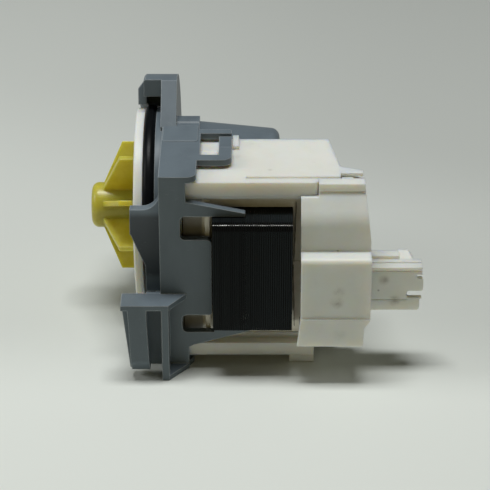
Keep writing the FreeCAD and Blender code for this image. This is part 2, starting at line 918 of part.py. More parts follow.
# Coil housing
def coil_housing():
    plan = [
        (housing_start, -housing_near),
        (housing_end_near, -housing_near),
        (housing_end_near, -housing_shoulder),
        (housing_end_far, -housing_far_edge),
        (housing_start, -housing_far_edge),
    ]
    shell = prism_z(plan, -housing_bottom, housing_top)
    coil_top = core_height + former_wall + winding_depth + wrap_thickness + 2 * loose
    cavity = box(housing_start + housing_wall, housing_end_far - housing_wall,
                 -housing_near - past, -housing_far_wall - housing_wall, -coil_top, coil_top)
    behind = box(housing_start - past, housing_end_near + past, -housing_far_wall, 0, -coil_top, coil_top)
    shell = shell.cut(cavity).cut(behind)
    slot = box(core_start - loose, core_end + loose, -housing_near, 0, leg_gap - loose, core_height + loose)
    shell = shell.cut(slot).cut(mirrored(slot))
    rail = prism_z([
        (housing_start, -housing_near), (housing_start, -rail_reach),
        (rail_end, -rail_reach, rail_corner), (rail_end, -housing_near),
    ], rail_bottom, housing_top)
    lip_near = -rail_reach + loose
    lip = box(housing_start, cover_start - loose, lip_near, lip_near + rail_lip_width,
              rail_bottom - rail_lip, rail_bottom)
    low_rail = prism_z([
        (housing_start, -housing_near), (housing_start, -rail_reach),
        (low_rail_end, -rail_reach, rail_corner), (low_rail_end, -housing_near),
    ], -low_rail_bottom, -low_rail_top)
    tongue = prism_z([
        (housing_end_near - past, -deck_tongue_near), (deck_tongue, -deck_tongue_near),
        (deck_tongue, -deck_tongue_far), (housing_end_near - past, -housing_shoulder),
    ], housing_top - deck_tongue_thickness, housing_top)
    lug_start = flange_back + loop_reach + loose
    lug = prism_y([
        (lug_start, housing_top - past), (lug_start, housing_top + lug_height),
        (lug_start + lug_length - edge_break, housing_top + lug_height, edge_break / 2),
        (lug_start + lug_length, housing_top - past),
    ], -housing_far_edge - lug_width, -housing_far_edge)
    window_start = flange_back + loop_window_start
    window_end = window_start + loop_window_length
    catch = prism_x([
        (-catch_near, housing_top - past),
        (-catch_near, housing_top + catch_height / 2, edge_break),
        (-catch_far - catch_height, housing_top + catch_height, catch_height),
        (-catch_far, housing_top - past),
    ], window_start + loose, window_end - loose)
    groove = prism_z([
        (deck_groove_start, -deck_groove_near, edge_break), (housing_end_near + past, -deck_groove_near),
        (housing_end_near + past, -deck_groove_far), (deck_groove_start, -deck_groove_far, edge_break),
    ], housing_top - deck_groove_depth, housing_top + past)
    feet = []
    for near_y in (-foot_near, -foot_far):
        feet.append(prism_x([
            (near_y, -low_rail_top), (near_y + edge_break, -base_depth, edge_break),
            (near_y + foot_width - edge_break, -base_depth, edge_break),
            (near_y + foot_width, -low_rail_top),
        ], foot_start, foot_start + foot_length))
    body = joined([shell, rail, lip, low_rail, tongue, lug, catch] + feet)
    save("coil_housing", body.cut(groove))


# End cover
def cover_outline(back):
    # Near side in three lumps: a sloping one under a brow, a square one and a low one
    return rounded_outline([
        (back, cover_top),
        (-cover_brow, cover_top),
        (-cover_brow, slope_top),
        (-bulge_reach, bulge_crest, bulge_round),
        (-bulge_reach, bulge_bottom),
        (-block_reach, bulge_bottom, block_round),
        (-block_reach, block_bottom),
        (-low_lump_reach, block_bottom),
        (-low_lump_reach, cover_bottom),
        (back, cover_bottom),
    ], lambda p: V(0, p.x, p.y))


def moved_prism(face, x0, x1):
    return face.translated(V(x0, 0, 0)).extrude(V(x1 - x0, 0, 0))


def end_cover():
    cover_open = -housing_near - loose
    outer = moved_prism(cover_outline(cover_open), cover_start, cover_end)
    side_top = housing_top - deck_tongue_thickness - loose
    side = box(cover_side_start, cover_end, -cover_brow, -cover_back, cover_bottom, side_top)
    outer = joined([outer, side])
    within = cover_outline(cover_open + cover_wall + past).makeOffset2D(-cover_wall, 2)
    hollow = moved_prism(within, cover_start - past, cover_hollow_end)
    side_hollow = box(cover_side_start - past, cover_hollow_end, -cover_brow + cover_wall,
                      -cover_back - cover_wall, cover_bottom + cover_wall, side_top - cover_wall)
    taper_start = cover_end - cover_taper
    taper = prism_y([
        (taper_start - cover_round - past, cover_top),
        (taper_start, cover_top, cover_round),
        (cover_end, cover_top - cover_taper_height),
        (cover_end + past, cover_top - cover_taper_height),
        (cover_end + past, housing_top + past),
        (taper_start - cover_round - past, housing_top + past),
    ], -low_lump_reach - past, -cover_back + past)
    ledge = box(cover_ledge_start, cover_ledge_end, -cover_ledge_reach, -cover_ledge_far,
                cover_top, cover_ledge_top)
    body = joined([outer.cut(hollow).cut(side_hollow).cut(taper), ledge])
    foot_cut = prism_y([
        (cover_end + past, low_lump_step), (cover_end, low_lump_step),
        (low_lump_end + low_lump_draft, low_lump_step - low_lump_slant),
        (low_lump_end, cover_bottom - past), (cover_end + past, cover_bottom - past),
    ], -low_lump_reach - past, -cover_back + past)
    rail_room = box(cover_start - past, rail_end + snug, -cover_brow - past, 0,
                    rail_bottom - snug, housing_top)
    low_room = box(cover_start - past, low_rail_end + snug, -rail_reach - snug, 0,
                   -housing_top, -low_rail_top + snug)
    body = body.cut(foot_cut).cut(rail_room).cut(low_room)
    window = box(cover_hollow_end - past, cover_end + past, -plug_near - snug, -plug_far + snug,
                 plug_bottom - snug, plug_top + snug)
    body = body.cut(window)
    lump = prism_y([
        (cover_start, block_bottom), (low_lump_start, cover_bottom),
        (cover_start + cover_wall, cover_bottom), (cover_start + cover_wall, block_bottom),
    ], -low_lump_reach, -low_lump_reach + cover_wall)
    body = joined([body, lump])
    save("end_cover", body)


# Terminal housing and blades
def terminal_housing():
    base_end = cover_hollow_end - loose
    start = base_end - plug_floor
    body = box(base_end, plug_end, -plug_near, -plug_far, plug_bottom, plug_top)
    base_near = max(-low_lump_reach, -block_reach) + cover_wall + loose
    base = box(start, base_end, base_near, -plug_far + plug_collar,
               plug_bottom - plug_collar, plug_top + plug_collar)
    cavity = box(cover_end + plug_wall, plug_end + past, -plug_near + plug_wall, -plug_far - plug_wall,
                 plug_bottom + plug_wall, plug_top - plug_wall)
    key_groove = box(cover_end, plug_end + past, -key_groove_near, -key_groove_far,
                     plug_top - key_groove_depth, plug_top + past)
    side_groove_z = plug_top - side_groove_top
    side_groove = box(cover_end, plug_end + past, -plug_near - past, -plug_near + side_groove_depth,
                      side_groove_z, side_groove_z + side_groove_width)
    shelf_near = -plug_far - latch_width
    shelf = box(cover_end, latch_start + latch_ramp, shelf_near, -plug_far, plug_top, plug_top + shelf_height)
    latch = prism_y([
        (latch_start, plug_top - edge_break), (latch_start + latch_ramp, plug_top + latch_height),
        (latch_end - latch_ramp, plug_top + latch_height), (latch_end, plug_top - edge_break),
    ], shelf_near, -plug_far)
    latch = latch.common(prism_x([
        (shelf_near - edge_break, plug_top - edge_break), (-plug_far, plug_top + latch_height),
        (-plug_far, plug_top - edge_break),
    ], latch_start, latch_end))
    body = joined([body, base, shelf, latch]).cut(cavity).cut(key_groove).cut(side_groove)
    gap_near = -plug_near - past
    gap_far = -plug_near + plug_wall
    upper_gap = box(upper_gap_root, plug_end + past, gap_near, gap_far, tongue_top, upper_gap_top)
    slot = prism_y([
        (slot_root, tongue_bottom, slot_round), (slot_root, slot_bottom, slot_round),
        (plug_end + past, slot_bottom), (plug_end + past, tongue_bottom),
    ], gap_near, gap_far)
    body = body.cut(upper_gap).cut(slot)
    tongue = prism_y([
        (tongue_root, tongue_bottom), (tongue_root, tongue_top),
        (tongue_end, tongue_top, slot_round), (tongue_end, tongue_bottom, slot_round),
    ], -plug_near, gap_far)
    trim = prism_y([
        (bar_end - bar_round, plug_bottom - past), (plug_end + past, plug_bottom - past),
        (plug_end + past, slot_bottom - bar_cut), (bar_end, slot_bottom - bar_cut),
        (bar_end, plug_bottom + bar_round),
    ], -plug_near - past, -plug_far + past)
    # Behind the slot the lower far corner is open, and past the latch the far side stops short
    corner = box(slot_root, plug_end + past, -corner_cut_near, -plug_far + past,
                 plug_bottom - past, corner_cut_top)
    short = box(latch_end, plug_end + past, shelf_near, -plug_far + past,
                plug_bottom - past, plug_top + past)
    low_groove = box(cover_end, slot_root, gap_near, -plug_near + side_groove_depth,
                     slot_bottom - bar_cut - side_groove_width, slot_bottom - bar_cut)
    body = joined([body.cut(trim).cut(corner).cut(short).cut(low_groove), tongue])
    mid_y = plug_middle_y
    blades = []
    for z in blade_heights:
        slit = box(start - past, cover_end + plug_wall + past, mid_y - blade_width / 2 - snug,
                   mid_y + blade_width / 2 + snug, z - blade_sheet / 2 - snug, z + blade_sheet / 2 + snug)
        body = body.cut(slit)
        blades.append(prism_z([
            (blade_tail, mid_y - blade_width / 4), (start - loose, mid_y - blade_width / 4),
            (start - loose, mid_y - blade_width / 2), (blade_tip - blade_point, mid_y - blade_width / 2),
            (blade_tip, mid_y - blade_width / 2 + blade_point),
            (blade_tip, mid_y + blade_width / 2 - blade_point),
            (blade_tip - blade_point, mid_y + blade_width / 2), (start - loose, mid_y + blade_width / 2),
            (start - loose, mid_y + blade_width / 4), (blade_tail, mid_y + blade_width / 4),
        ], z - blade_sheet / 2, z + blade_sheet / 2))
    save("terminal_housing", body)
    save("terminal_blades", Part.makeCompound(blades))


def coil_connections():
    # Two flat leads from the formers to the blades, and the thermal fuse beside the upper coil
    lead_far = -leg_near - snug
    leads = []
    for z in blade_heights:
        leads.append(box(lead_start, blade_tail - snug, lead_far - lead_sheet, lead_far,
                         z - lead_width / 2, z + lead_width / 2))
    save("coil_leads", Part.makeCompound(leads))
    fuse_y = -bulge_reach + cover_wall + loose + fuse_radius
    fuse_z = (bulge_crest + bulge_bottom) / 2
    fuse = rod(fuse_start, fuse_start + fuse_length, fuse_radius, fuse_y, fuse_z)
    ends = [e for e in fuse.Edges if e.Closed]
    save("thermal_fuse", fuse.makeFillet(edge_break, ends))


os.makedirs("parts", exist_ok=True)
mounting_bracket()
chamber_plate()
seal_ring()
rotor_can()
bearing("front", front_grommet_start)
bearing("rear", rear_grommet_start)
rotor()
impeller()
drive_dog()
stator_core()
coils()
coil_housing()
end_cover()
terminal_housing()
coil_connections()
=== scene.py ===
import bpy
import bmesh
import math
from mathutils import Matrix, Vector, noise


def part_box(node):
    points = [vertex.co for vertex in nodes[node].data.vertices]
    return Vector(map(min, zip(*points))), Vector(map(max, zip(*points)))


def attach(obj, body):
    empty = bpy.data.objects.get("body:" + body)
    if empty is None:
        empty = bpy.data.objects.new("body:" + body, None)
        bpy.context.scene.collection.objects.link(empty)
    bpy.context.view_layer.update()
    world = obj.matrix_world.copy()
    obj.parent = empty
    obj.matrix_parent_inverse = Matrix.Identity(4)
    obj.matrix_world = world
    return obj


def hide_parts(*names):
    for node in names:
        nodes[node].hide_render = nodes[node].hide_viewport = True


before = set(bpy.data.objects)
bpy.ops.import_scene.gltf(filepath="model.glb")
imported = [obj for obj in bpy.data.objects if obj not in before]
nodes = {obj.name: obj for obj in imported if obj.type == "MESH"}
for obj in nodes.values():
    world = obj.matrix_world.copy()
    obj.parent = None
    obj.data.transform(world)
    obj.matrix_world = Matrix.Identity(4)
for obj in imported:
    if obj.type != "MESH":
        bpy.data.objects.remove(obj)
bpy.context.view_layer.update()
mm = 0.001


class Signal:  # a node's output socket that takes part in plain arithmetic
    def __init__(self, finish, outputs, pick):
        self.finish = finish
        self.outputs = outputs
        self.socket = outputs[pick]

    def other(self, pick):
        return Signal(self.finish, self.outputs, pick)

    def maths(self, operation, first, second):
        return self.finish.node("ShaderNodeMath", {"operation": operation}, {0: first, 1: second})

    def __add__(self, value):
        return self.maths("ADD", self, value)

    def __radd__(self, value):
        return self.maths("ADD", value, self)

    def __sub__(self, value):
        return self.maths("SUBTRACT", self, value)

    def __rsub__(self, value):
        return self.maths("SUBTRACT", value, self)

    def __mul__(self, value):
        return self.maths("MULTIPLY", self, value)

    def __rmul__(self, value):
        return self.maths("MULTIPLY", value, self)

    def __truediv__(self, value):
        return self.maths("DIVIDE", self, value)

    def fraction(self):
        return self.maths("FRACT", self, 0.0)

    def whole(self):
        return self.maths("FLOOR", self, 0.0)

    def magnitude(self):
        return self.maths("ABSOLUTE", self, 0.0)

    def atLeast(self, value):
        return self.maths("MAXIMUM", self, value)

    def ramp(self, low, high, toLow=0.0, toHigh=1.0):  # smooth step between two readings
        return self.finish.node("ShaderNodeMapRange", {"interpolation_type": "SMOOTHSTEP"}, {
            "Value": self, "From Min": low, "From Max": high, "To Min": toLow, "To Max": toHigh})


class Finish:  # one material, made node by node
    def __init__(self, name):
        self.material = bpy.data.materials.new(name)
        self.material.use_nodes = True
        self.tree = self.material.node_tree
        self.tree.nodes.clear()
        self.place = self.node("ShaderNodeTexCoord", pick="Object")

    def node(self, kind, settings=None, sockets=None, pick=0):
        made = self.tree.nodes.new(kind)
        for key, value in (settings or {}).items():
            setattr(made, key, value)
        for key, value in (sockets or {}).items():
            if isinstance(value, Signal):
                self.tree.links.new(value.socket, made.inputs[key])
            else:
                made.inputs[key].default_value = value
        return Signal(self, made.outputs, pick)

    def axes(self):
        x = self.node("ShaderNodeSeparateXYZ", None, {"Vector": self.place})
        return x, x.other("Y"), x.other("Z")

    def blend(self, factor, first, second):
        return self.node("ShaderNodeMix", {"data_type": "RGBA"}, {0: factor, 6: first, 7: second}, 2)

    def grain(self, size, detail=3.0, roughness=0.55, stretch=None):  # noise whose lumps are about size across
        place = self.place
        if stretch:
            place = self.node("ShaderNodeMapping", None, {"Vector": place, "Scale": stretch})
        return self.node("ShaderNodeTexNoise", None, {
            "Vector": place, "Scale": 1 / size, "Detail": detail, "Roughness": roughness})

    def spot(self, centre, reach):  # 1 at a point of the object, falling to 0 at reach
        points = {0: self.place, 1: centre}
        return self.node("ShaderNodeVectorMath", {"operation": "DISTANCE"}, points, "Value").ramp(reach, 0.0)

    def rounded(self, radius):  # the normal, with rounded edges
        return self.node("ShaderNodeBevel", {"samples": 6}, {"Radius": radius})

    def edge(self, rounded):  # 0 on a flat face, more where an edge is near
        flat = self.node("ShaderNodeNewGeometry", None, None, "Normal")
        agree = self.node("ShaderNodeVectorMath", {"operation": "DOT_PRODUCT"}, {0: rounded, 1: flat}, "Value")
        return 1 - agree

    def relief(self, height, strength, depth, normal=None):
        sockets = {"Strength": strength, "Distance": depth, "Height": height}
        if normal:
            sockets["Normal"] = normal
        return self.node("ShaderNodeBump", None, sockets)

    def close(self, sockets):
        shader = self.node("ShaderNodeBsdfPrincipled", None, sockets)
        leave = self.tree.nodes.new("ShaderNodeOutputMaterial")
        self.tree.links.new(shader.socket, leave.inputs["Surface"])
        return self.material


def colour(red, green, blue):
    return (red, green, blue, 1.0)


# Finishes. In each look a grain is (size, detail, roughness, stretch), a ramp is (from, to, least, most)
# and a relief is (strength, depth).
bracketLook = {
    "base": colour(0.138, 0.171, 0.196), "deep": colour(0.118, 0.146, 0.169), "flowRamp": (0.35, 0.65),
    "flow": (14 * mm, 4.0, 0.6, (1.0, 1.0, 0.35)),
    # edge: a lighter colour for a painted highlight along edges, also used for the random scuffs, which are
    # wear
    "edge": colour(0.46, 0.50, 0.52), "edgeRadius": 0.45 * mm, "edgeRamp": (0.01, 0.13, 0.0, 0.80),
    "scuff": (2.2 * mm, 5.0, 0.7, (1.0, 1.0, 2.5)), "scuffRamp": (0.60, 0.74), "scuffWeight": 0.10,
    # guardShade and the guard ramps: a painted shade on the recessed guard wall
    "guardShade": colour(0.045, 0.052, 0.060), "guardShadeWeight": 0.8,
    "guardX": (8.5 * mm, 8.2 * mm), "guardY": (-30.0 * mm, -34.0 * mm),
    "guardFoot": (-7.6 * mm, -5.0 * mm), "guardTop": (14.2 * mm, 12.0 * mm),
    "roughness": 0.38, "flowRoughness": 0.14, "scuffRoughness": 0.10,
    "skin": (0.35 * mm, 2.0), "relief": (0.10, 0.04 * mm), "specular": 0.22}


def bracketPlastic():
    look = bracketLook
    finish = Finish("bracket_gray_plastic")
    rounded = finish.rounded(look["edgeRadius"])
    edge = finish.edge(rounded)
    flow = finish.grain(*look["flow"])
    scuff = finish.grain(*look["scuff"]).ramp(*look["scuffRamp"])
    body = finish.blend(flow.ramp(*look["flowRamp"]), look["deep"], look["base"])
    x, y, z = finish.axes()
    guard = x.ramp(*look["guardX"]) * y.ramp(*look["guardY"])  # painted shade: darkens the guard wall, which lies recessed behind the side wall
    guard = guard * z.ramp(*look["guardFoot"]) * z.ramp(*look["guardTop"])
    body = finish.blend(guard * look["guardShadeWeight"], body, look["guardShade"])
    # painted highlight: edges painted lighter where their rounding would catch the lamp
    body = finish.blend(edge.ramp(*look["edgeRamp"]), body, look["edge"])
    body = finish.blend(scuff * look["scuffWeight"], body, look["edge"])
    rough = look["roughness"] + look["flowRoughness"] * (flow - 0.5) + look["scuffRoughness"] * scuff
    return finish.close({
        "Base Color": body, "Roughness": rough, "Specular IOR Level": look["specular"],
        "Normal": finish.relief(finish.grain(*look["skin"]), *look["relief"], rounded)})


def scattering(look):  # light that travels under the skin of a moulding
    return {"Subsurface Weight": look["subsurface"], "Subsurface Scale": look["depth"],
            "Subsurface Radius": look["reach"]}


whiteLook = {
    "base": colour(0.79, 0.785, 0.735), "warm": colour(0.765, 0.755, 0.69),
    "flow": (11 * mm, 4.0, 0.6), "flowRamp": (0.35, 0.68),
    "soil": colour(0.215, 0.185, 0.145), "haze": (3.0 * mm, 5.0, 0.65), "hazeRamp": (0.60, 0.80, 0.0, 0.10),
    "smudgeRamp": (0.35, 0.62, 0.25, 1.0),
    "edge": colour(0.95, 0.95, 0.93), "edgeRadius": 0.35 * mm, "edgeRamp": (0.01, 0.20, 0.0, 0.85),
    "roughness": 0.38, "hazeRoughness": 0.12,
    "skin": (0.5 * mm, 2.0), "relief": (0.08, 0.05 * mm), "specular": 0.3,
    "subsurface": 0.75, "depth": 5.0 * mm, "reach": (1.0, 0.74, 0.45)}
smudges = {  # (x, y, z) in mm, reach in mm, weight
    "cover": [((61.0, -53.3, -2.8), 2.6, 0.34), ((60.4, -53.3, -6.2), 2.6, 0.55),
              ((60.7, -47.6, 7.9), 0.60, 1.0), ((61.5, -52.6, -16.5), 3.0, 0.30)],
    "plug": [((74.8, -44.0, -3.6), 2.2, 0.60), ((73.2, -44.0, -7.0), 0.50, 0.9),
             ((78.0, -44.0, -10.4), 2.4, 0.60), ((82.0, -44.0, -9.0), 0.7, 0.8)],
    "deck": [((36.0, -16.0, 27.5), 3.5, 0.16), ((30.5, -24.0, 27.5), 3.0, 0.16),
             ((41.0, -33.5, 27.5), 1.2, 0.25)]}


def whitePlastic(name, marks=()):
    look = whiteLook
    finish = Finish(name)
    rounded = finish.rounded(look["edgeRadius"])
    edge = finish.edge(rounded)
    flow = finish.grain(*look["flow"])
    haze = finish.grain(*look["haze"])
    body = finish.blend(flow.ramp(*look["flowRamp"]), look["base"], look["warm"])
    body = finish.blend(haze.ramp(*look["hazeRamp"]), body, look["soil"])
    for centre, reach, weight in marks:
        mark = finish.spot(tuple(v * mm for v in centre), reach * mm) * haze.ramp(*look["smudgeRamp"])
        body = finish.blend(mark * weight, body, look["soil"])
    # painted highlight: edges painted lighter where their rounding would catch the lamp
    body = finish.blend(edge.ramp(*look["edgeRamp"]), body, look["edge"])
    return finish.close({
        "Base Color": body, "Roughness": look["roughness"] + look["hazeRoughness"] * (haze - 0.5),
        "Normal": finish.relief(finish.grain(*look["skin"]), *look["relief"], rounded),
        "Specular IOR Level": look["specular"], **scattering(look)})


impellerLook = {
    "base": colour(0.41, 0.365, 0.034), "light": colour(0.49, 0.445, 0.065),
    "flow": (7 * mm, 4.0, 0.6), "flowRamp": (0.3, 0.7),
    "edge": colour(0.60, 0.56, 0.14), "edgeRadius": 0.6 * mm, "edgeRamp": (0.03, 0.3, 0.0, 0.5),
    "roughness": 0.33, "flowRoughness": 0.16, "skin": (0.6 * mm, 3.0), "relief": (0.12, 0.06 * mm),
    "subsurface": 0.8, "depth": 7.0 * mm, "reach": (1.0, 0.8, 0.15)}


def impellerPlastic():
    look = impellerLook
    finish = Finish("impeller_yellow_plastic")
    rounded = finish.rounded(look["edgeRadius"])
    edge = finish.edge(rounded)
    flow = finish.grain(*look["flow"])
    body = finish.blend(flow.ramp(*look["flowRamp"]), look["base"], look["light"])
    # painted highlight: edges painted lighter where their rounding would catch the lamp
    body = finish.blend(edge.ramp(*look["edgeRamp"]), body, look["edge"])
    return finish.close({
        "Base Color": body, "Roughness": look["roughness"] + look["flowRoughness"] * (flow - 0.5),
        "Normal": finish.relief(finish.grain(*look["skin"]), *look["relief"], rounded), **scattering(look)})


rubberLook = {
    "base": colour(0.0040, 0.0046, 0.0056), "edgeRadius": 0.25 * mm,
    "dustColour": colour(0.030, 0.032, 0.036), "dust": (1.2 * mm, 5.0, 0.7),
    "dustRamp": (0.58, 0.82, 0.0, 0.35),
    "roughness": 0.34, "dustRoughness": 0.25, "dullRamp": (0.5, 0.8),
    "skin": (0.25 * mm, 2.0), "relief": (0.15, 0.04 * mm), "specular": 0.10}


def rubber():
    look = rubberLook
    finish = Finish("black_rubber")
    rounded = finish.rounded(look["edgeRadius"])
    dust = finish.grain(*look["dust"])
    return finish.close({
        "Base Color": finish.blend(dust.ramp(*look["dustRamp"]), look["base"], look["dustColour"]),
        "Roughness": look["roughness"] + look["dustRoughness"] * dust.ramp(*look["dullRamp"]),
        "Normal": finish.relief(finish.grain(*look["skin"]), *look["relief"], rounded),
        "Specular IOR Level": look["specular"]})


coreLook = {
    "base": colour(0.0040, 0.0052, 0.0055), "pale": colour(0.0085, 0.0112, 0.0117), "paleWeight": 0.8,
    "start": 24.1 * mm, "pitch": 0.65 * mm,
    "rust": colour(0.020, 0.014, 0.010), "stain": (5 * mm, 5.0, 0.65), "rustRamp": (0.56, 0.78, 0.0, 0.6),
    "edge": colour(0.016, 0.021, 0.023), "edgeRamp": (0.30, 0.22), "crisp": (33.0 * mm, 41.0 * mm, 0.1, 1.0),
    "jointDirtAndShade": colour(0.0005, 0.0005, 0.0005), "dirtRamp": (0.24, 0.32),
    "shadeLineAt": 66.3 * mm, "shadeLineRamp": (1.1 * mm, 0.6 * mm),
    "bare": colour(0.20, 0.20, 0.19), "glintShoulder": 67.2 * mm, "glintWidthRamp": (0.09 * mm, 0.03 * mm),
    "dotRamp": (0.26, 0.12), "dotLevel": (0.0, 1.0, 0.6, 1.8), "solidGlintRamp": (28.2 * mm, 28.0 * mm),
    "nick": (0.55 * mm, 2.0, 0.5, (1.0, 0.2, 0.2)), "nickRamp": (0.25, 0.5, 0.5, 1.0),
    "roughness": 0.40, "stainRoughness": 0.18, "glintRoughness": 0.14, "metal": 0.5,
    "relief": (0.15, 0.02 * mm), "specular": 0.09}


def coreSteel():
    look = coreLook
    finish = Finish("varnished_core_steel")
    x, y, z = finish.axes()
    count = (x - look["start"]) / look["pitch"]  # which sheet, and how far across it
    sheet = finish.node("ShaderNodeTexWhiteNoise", {"noise_dimensions": "1D"}, {"W": count.whole() + 0.5})
    across = (count.fraction() - 0.5).magnitude()
    rise = z - y
    stain = finish.grain(*look["stain"])
    nick = finish.grain(*look["nick"]).ramp(*look["nickRamp"])
    line = (rise - look["glintShoulder"]).magnitude().ramp(*look["glintWidthRamp"])  # painted highlight: a bright band where the top edge's rounding faces the lamp, dotted sheet by sheet; partly bare metal through the varnish
    dots = across.ramp(*look["dotRamp"]) * sheet.ramp(*look["dotLevel"])
    bareAndGlint = line * dots.atLeast(x.ramp(*look["solidGlintRamp"])) * nick
    crisp = x.ramp(*look["crisp"])
    run = (rise - look["shadeLineAt"]).magnitude().ramp(*look["shadeLineRamp"])  # painted shade: a dark line just under that top edge
    body = finish.blend(stain.ramp(*look["rustRamp"]), look["base"], look["rust"])
    body = finish.blend(sheet * look["paleWeight"], body, look["pale"])
    body = finish.blend(across.ramp(*look["edgeRamp"]) * crisp, body, look["edge"])
    body = finish.blend(across.ramp(*look["dirtRamp"]) * crisp, body, look["jointDirtAndShade"])  # between the sheets
    # painted shade line under the top edge, in the same near-black as the joints between the sheets
    body = finish.blend(run, body, look["jointDirtAndShade"])
    # painted highlight along the top edge, partly bare metal
    body = finish.blend(bareAndGlint, body, look["bare"])
    rough = look["roughness"] + look["stainRoughness"] * (stain - 0.5) - look["glintRoughness"] * bareAndGlint
    return finish.close({
        "Base Color": body, "Roughness": rough, "Metallic": bareAndGlint * look["metal"],
        "Normal": finish.relief(stain, *look["relief"]), "Specular IOR Level": look["specular"]})


plainLook = {
    "edgeRadius": 0.15 * mm, "spread": (4.0, 0.6), "spreadRamp": (0.4, 0.7), "spreadRoughness": 0.2,
    "skinShare": 0.12, "skinDetail": 2.0, "relief": (0.2, 0.03 * mm),
    # soil here is the colour of the painted shade
    "soil": colour(0.16, 0.16, 0.17), "shadeWeight": 0.75}


def plainFinish(name, base, second, size, roughness, metal=0.0, shadeAlongX=None):  # shadeAlongX: ramp along x for a painted shade
    look = plainLook
    finish = Finish(name)
    rounded = finish.rounded(look["edgeRadius"])
    spread = finish.grain(size, *look["spread"])
    skin = finish.grain(size * look["skinShare"], look["skinDetail"])
    body = finish.blend(spread.ramp(*look["spreadRamp"]), base, second)
    if shadeAlongX:
        # painted shade: darker towards low x
        body = finish.blend(finish.axes()[0].ramp(*shadeAlongX) * look["shadeWeight"], body, look["soil"])
    return finish.close({
        "Base Color": body, "Roughness": roughness + look["spreadRoughness"] * (spread - 0.5),
        "Normal": finish.relief(skin, *look["relief"], rounded), "Metallic": metal})


bracketGray = bracketPlastic()
plateWhite = whitePlastic("plate_white_plastic")
housingWhite = whitePlastic("housing_white_plastic", smudges["deck"])
coverWhite = whitePlastic("cover_white_plastic", smudges["cover"])
plugWhite = whitePlastic("terminal_white_plastic", smudges["plug"])
canWhite = whitePlastic("can_white_plastic")
blackRubber = rubber()
impellerYellow = impellerPlastic()
darkSteel = coreSteel()
# the formers carry a painted shade below x = 21 mm, where they sit in the housing's window
formerBeige = plainFinish(
    "former_olive_plastic", colour(0.86, 0.83, 0.74), colour(0.73, 0.69, 0.60), 6 * mm, 0.45,
    shadeAlongX=(21.4 * mm, 20.6 * mm))
slipBrown = plainFinish(
    "varnished_paper", colour(0.16, 0.115, 0.065), colour(0.09, 0.06, 0.035), 1.6 * mm, 0.30)
wrapBrown = plainFinish(
    "wrap_brown_tape", colour(0.085, 0.072, 0.056), colour(0.055, 0.042, 0.030), 4 * mm, 0.32)
copper = plainFinish(
    "winding_copper_enamel", colour(0.55, 0.20, 0.09), colour(0.40, 0.12, 0.05), 2 * mm, 0.25, 1.0)
brightSteel = plainFinish(
    "shaft_ground_steel", colour(0.62, 0.62, 0.63), colour(0.50, 0.50, 0.52), 2 * mm, 0.22, 1.0)
ceramic = plainFinish(
    "bearing_ceramic", colour(0.62, 0.60, 0.55), colour(0.50, 0.48, 0.44), 2 * mm, 0.4)
ferrite = plainFinish(
    "rotor_ferrite", colour(0.030, 0.030, 0.032), colour(0.050, 0.050, 0.052), 1.5 * mm, 0.55)
carrierBlack = plainFinish(
    "carrier_black_plastic", colour(0.02, 0.02, 0.022), colour(0.035, 0.035, 0.036), 3 * mm, 0.45)
washerTan = plainFinish(
    "washer_plastic", colour(0.50, 0.42, 0.26), colour(0.42, 0.34, 0.20), 2 * mm, 0.4)
tinnedBrass = plainFinish(
    "terminal_tinned_brass", colour(0.66, 0.64, 0.60), colour(0.58, 0.50, 0.34), 2.5 * mm, 0.28, 1.0)

nodeFinishes = {
    "mounting_bracket": bracketGray, "chamber_plate": plateWhite, "seal_ring": blackRubber,
    "rotor_can": canWhite, "can_gasket": blackRubber,
    "front_bearing_bush": ceramic, "rear_bearing_bush": ceramic,
    "front_bearing_grommet": blackRubber, "rear_bearing_grommet": blackRubber,
    "shaft": brightSteel, "magnet_carrier": carrierBlack, "rotor_magnet": ferrite,
    "thrust_washer_front": washerTan, "thrust_washer_rear": washerTan, "drive_dog": carrierBlack,
    "impeller": impellerYellow, "impeller_hub_plug": impellerYellow, "hub_damper": blackRubber,
    "stator_core": darkSteel, "coil_former_upper": formerBeige, "coil_former_lower": formerBeige,
    "winding_upper": copper, "winding_lower": copper,
    "coil_wrap_upper": wrapBrown, "coil_wrap_lower": wrapBrown,
    "coil_housing": housingWhite, "end_cover": coverWhite, "terminal_housing": plugWhite,
    "terminal_blades": tinnedBrass, "coil_leads": tinnedBrass, "thermal_fuse": brightSteel}


def dress(piece, material):
    piece.data.materials.clear()
    piece.data.materials.append(material)


for name, material in nodeFinishes.items():
    dress(nodes[name], material)
print("finishes on", len(nodeFinishes), "nodes")


# Meshes and trees
def roundedRectangle(low, high, radius, steps):  # points (u, v) counterclockwise, corners as arcs
    points = []
    corners = [(high[0] - radius, low[1] + radius, -90), (high[0] - radius, high[1] - radius, 0),
               (low[0] + radius, high[1] - radius, 90), (low[0] + radius, low[1] + radius, 180)]
    for cu, cv, start in corners:
        for k in range(steps + 1):
            turn = math.radians(start + 90 * k / steps)
            points.append((cu + radius * math.cos(turn), cv + radius * math.sin(turn)))
    return points


def arc(radius, first, last, steps):  # (y, z) round the rotor axis, degrees from +Z towards +Y
    turns = [math.radians(first + (last - first) * k / steps) for k in range(steps + 1)]
    return [(radius * math.sin(t), radius * math.cos(t)) for t in turns]


def inset(points, amount):  # the outline drawn in along its corner normals
    drawn = []
    for i, (u, v) in enumerate(points):
        back, ahead = points[i - 1], points[(i + 1) % len(points)]
        along = Vector((ahead[0] - back[0], ahead[1] - back[1])).normalized()
        drawn.append((u - along.y * amount, v + along.x * amount))
    return drawn


